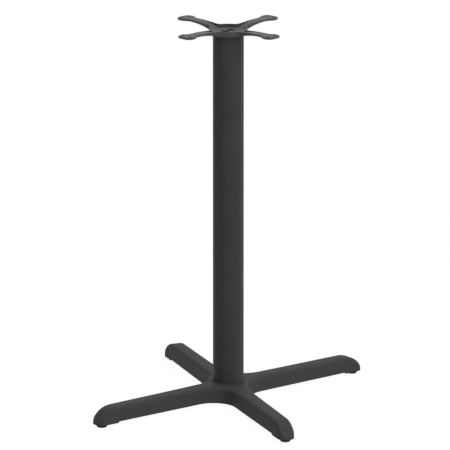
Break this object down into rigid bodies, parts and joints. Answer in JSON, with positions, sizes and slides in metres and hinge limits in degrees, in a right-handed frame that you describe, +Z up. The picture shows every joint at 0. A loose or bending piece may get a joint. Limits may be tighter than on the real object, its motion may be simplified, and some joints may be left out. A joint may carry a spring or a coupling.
{
  "type": "table base",
  "caption": "Bar-height pedestal table base: cast cross foot with screw glides, round tube column and a cast top spider drilled for a table top.",
  "frame": {"origin": "on the floor, under the axis of the column", "axes": "+Z up along the column; the arms of the top spider point at 45 degrees to X and Y, and the cross foot is turned about Z under it"},
  "size_m": [0.727, 0.8496, 1.03],
  "materials": {
    "coated_iron": "black powder coat with a fine cast texture",
    "coated_tube": "smooth black powder coat",
    "plated_steel": "zinc plated",
    "glide_plastic": "moulded black plastic"
  },
  "bodies": {
    "frame": {"cross_base": "coated_iron", "column": "coated_tube", "top_spider": "coated_iron", "tie_rod": "plated_steel", "base_washer": "plated_steel", "base_lock_washer": "plated_steel", "base_nut": "plated_steel"},
    "glide_1_stud": {"glide_stud_1": "plated_steel"},
    "glide_1_pad": {"glide_pad_1": "glide_plastic"},
    "glide_2_stud": {"glide_stud_2": "plated_steel"},
    "glide_2_pad": {"glide_pad_2": "glide_plastic"},
    "glide_3_stud": {"glide_stud_3": "plated_steel"},
    "glide_3_pad": {"glide_pad_3": "glide_plastic"},
    "glide_4_stud": {"glide_stud_4": "plated_steel"},
    "glide_4_pad": {"glide_pad_4": "glide_plastic"}
  },
  "joints": [
    {"name": "glide_1_lift", "type": "slide", "parent": "frame", "child": "glide_1_stud", "axis": [0, 0, -1], "range_m": [0, 0.01]},
    {"name": "glide_1_turn", "type": "hinge", "parent": "glide_1_stud", "child": "glide_1_pad", "pos_m": [0.33994, 0.2586, 0], "axis": [0, 0, -1], "range_deg": [0, 2880]},
    {"name": "glide_2_lift", "type": "slide", "parent": "frame", "child": "glide_2_stud", "axis": [0, 0, -1], "range_m": [0, 0.01]},
    {"name": "glide_2_turn", "type": "hinge", "parent": "glide_2_stud", "child": "glide_2_pad", "pos_m": [-0.14426, 0.40203, 0], "axis": [0, 0, -1], "range_deg": [0, 2880]},
    {"name": "glide_3_lift", "type": "slide", "parent": "frame", "child": "glide_3_stud", "axis": [0, 0, -1], "range_m": [0, 0.01]},
    {"name": "glide_3_turn", "type": "hinge", "parent": "glide_3_stud", "child": "glide_3_pad", "pos_m": [-0.33994, -0.2586, 0], "axis": [0, 0, -1], "range_deg": [0, 2880]},
    {"name": "glide_4_lift", "type": "slide", "parent": "frame", "child": "glide_4_stud", "axis": [0, 0, -1], "range_m": [0, 0.01]},
    {"name": "glide_4_turn", "type": "hinge", "parent": "glide_4_stud", "child": "glide_4_pad", "pos_m": [0.14426, -0.40203, 0], "axis": [0, 0, -1], "range_deg": [0, 2880]}
  ],
  "couplings": [
    {"joint": "glide_1_lift", "follows": "glide_1_turn", "m_per_rad": 0.00019894},
    {"joint": "glide_2_lift", "follows": "glide_2_turn", "m_per_rad": 0.00019894},
    {"joint": "glide_3_lift", "follows": "glide_3_turn", "m_per_rad": 0.00019894},
    {"joint": "glide_4_lift", "follows": "glide_4_turn", "m_per_rad": 0.00019894}
  ]
}
